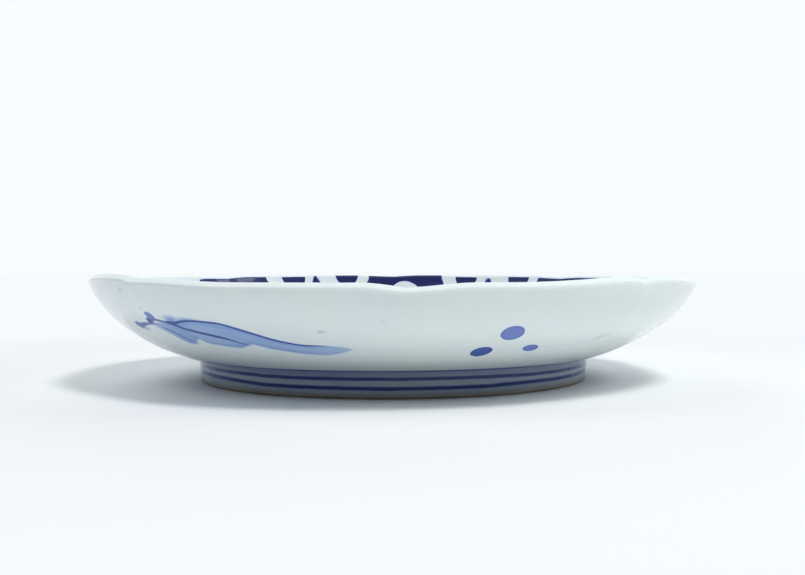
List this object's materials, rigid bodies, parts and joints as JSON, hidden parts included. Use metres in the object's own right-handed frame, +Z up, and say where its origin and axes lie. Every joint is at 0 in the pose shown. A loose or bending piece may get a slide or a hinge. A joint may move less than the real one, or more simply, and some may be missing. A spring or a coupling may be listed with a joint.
{
  "type": "plate",
  "caption": "Shallow blue-and-white porcelain dish with a lobed, notched rim, standing on a banded foot ring.",
  "frame": {"origin": "on the table under the middle of the dish, at the centre of the foot ring's resting face", "axes": "+Z up out of the dish, -Y towards the front, where the deepest notch is, +X to the right seen from the front"},
  "size_m": [0.2074, 0.2076, 0.0375],
  "materials": {
    "painted_glaze": "clear glossy glaze over pale bluish white porcelain with cobalt brushwork",
    "foot_glaze": "clear glossy glaze over cobalt bands, wiped bare along the edge that stands on the table"
  },
  "bodies": {
    "root": {"dish": "painted_glaze", "foot_ring": "foot_glaze"}
  },
  "joints": []
}
